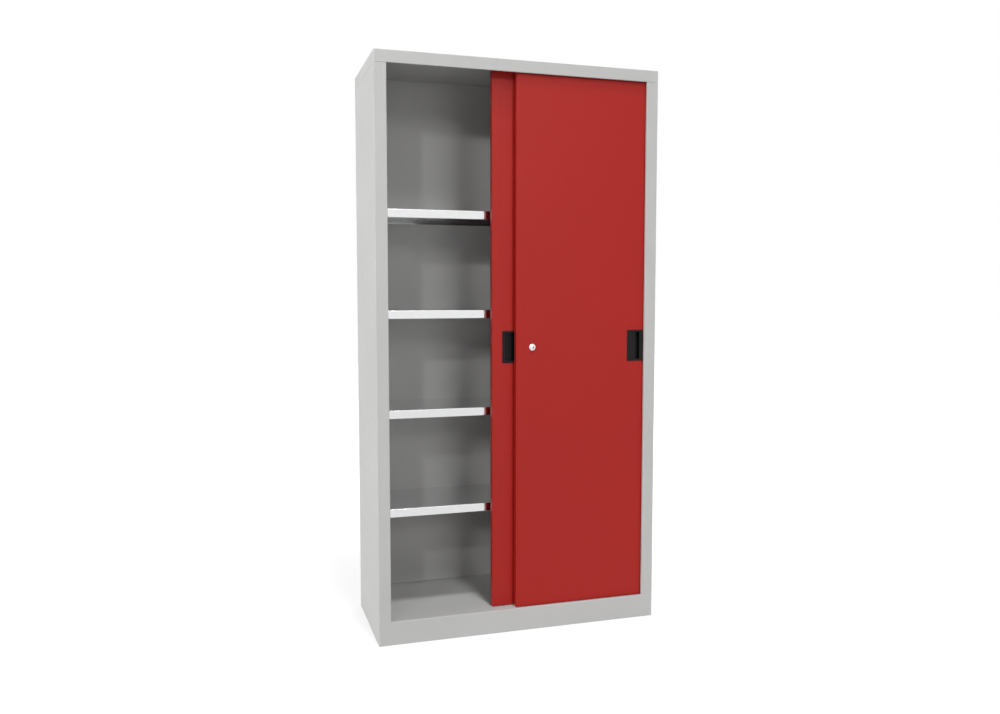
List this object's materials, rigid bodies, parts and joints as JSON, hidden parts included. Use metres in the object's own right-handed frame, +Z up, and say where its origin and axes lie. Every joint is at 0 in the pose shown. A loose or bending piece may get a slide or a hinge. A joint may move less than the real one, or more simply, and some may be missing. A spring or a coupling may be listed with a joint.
{
  "type": "sliding door cabinet",
  "caption": "Tall sheet steel storage cabinet with shelves behind two overlapping sliding doors with recessed pulls and a push lock.",
  "frame": {"origin": "middle of the base, on the ground", "axes": "+Z up, +X to the right seen from the front, +Y from the doors to the back"},
  "size_m": [1, 0.42, 1.95],
  "materials": {
    "body_paint": "light grey powder coat, satin, fine orange peel",
    "door_paint": "flame red powder coat, satin, fine orange peel",
    "galvanised": "bright galvanised sheet",
    "nylon": "natural nylon",
    "black_plastic": "moulded, fine grain",
    "rubber": "matt black rubber",
    "bright_chrome": "polished plating"
  },
  "bodies": {
    "carcass": {"left_side_panel": "body_paint", "right_side_panel": "body_paint", "back_panel": "body_paint", "top_cap": "body_paint", "floor_panel": "body_paint", "plinth_fascia": "body_paint", "rear_base_rail": "body_paint", "top_rail": "galvanised", "rear_door_stop": "galvanised", "floor_guide": "nylon", "left_buffers": "rubber", "right_buffers": "rubber", "upright_front_left": "body_paint", "upright_rear_left": "body_paint", "upright_front_right": "body_paint", "upright_rear_right": "body_paint", "shelf_1": "galvanised", "shelf_2": "galvanised", "shelf_3": "galvanised", "shelf_4": "galvanised", "shelf_clips_1": "galvanised", "shelf_clips_2": "galvanised", "shelf_clips_3": "galvanised", "shelf_clips_4": "galvanised"},
    "front_door": {"front_door_panel": "door_paint", "front_door_stiffener": "door_paint", "front_guide_channel": "galvanised", "front_hanger_left": "galvanised", "front_hanger_right": "galvanised", "front_axles": "bright_chrome", "front_handle": "black_plastic", "lock_housing": "bright_chrome", "lock_nut": "galvanised"},
    "rear_door": {"rear_door_panel": "door_paint", "rear_door_stiffener": "door_paint", "rear_guide_channel": "galvanised", "rear_hanger_left": "galvanised", "rear_hanger_right": "galvanised", "rear_axles": "bright_chrome", "rear_handle": "black_plastic", "lock_keeper": "galvanised"},
    "lock_plunger": {"lock_plunger": "bright_chrome"},
    "lock_plug": {"lock_plug": "bright_chrome"},
    "front_roller_left": {"front_roller_left": "nylon"},
    "front_roller_right": {"front_roller_right": "nylon"},
    "rear_roller_left": {"rear_roller_left": "nylon"},
    "rear_roller_right": {"rear_roller_right": "nylon"}
  },
  "joints": [
    {"name": "front_door_slide", "type": "slide", "parent": "carcass", "child": "front_door", "axis": [1, 0, 0], "range_m": [-0.4774, 0]},
    {"name": "rear_door_slide", "type": "slide", "parent": "carcass", "child": "rear_door", "axis": [1, 0, 0], "range_m": [-0.4007, 0]},
    {"name": "lock_press", "type": "slide", "parent": "front_door", "child": "lock_plunger", "axis": [0, 1, 0], "range_m": [0, 0.008], "stiffness_N_per_m": 400},
    {"name": "lock_turn", "type": "hinge", "parent": "lock_plunger", "child": "lock_plug", "pos_m": [0.041, -0.196, 0.9894], "axis": [0, 1, 0], "range_deg": [0, 90]},
    {"name": "front_roller_left_spin", "type": "hinge", "parent": "front_door", "child": "front_roller_left", "pos_m": [0.0437, -0.1775, 1.938], "axis": [0, 1, 0], "continuous": true},
    {"name": "front_roller_right_spin", "type": "hinge", "parent": "front_door", "child": "front_roller_right", "pos_m": [0.4337, -0.1775, 1.938], "axis": [0, 1, 0], "continuous": true},
    {"name": "rear_roller_left_spin", "type": "hinge", "parent": "rear_door", "child": "rear_roller_left", "pos_m": [-0.033, -0.1565, 1.938], "axis": [0, 1, 0], "continuous": true},
    {"name": "rear_roller_right_spin", "type": "hinge", "parent": "rear_door", "child": "rear_roller_right", "pos_m": [0.357, -0.1565, 1.938], "axis": [0, 1, 0], "continuous": true}
  ],
  "couplings": [
    {"joint": "front_roller_left_spin", "follows": "front_door_slide", "rad_per_m": 125},
    {"joint": "front_roller_right_spin", "follows": "front_door_slide", "rad_per_m": 125},
    {"joint": "rear_roller_left_spin", "follows": "rear_door_slide", "rad_per_m": 125},
    {"joint": "rear_roller_right_spin", "follows": "rear_door_slide", "rad_per_m": 125}
  ]
}
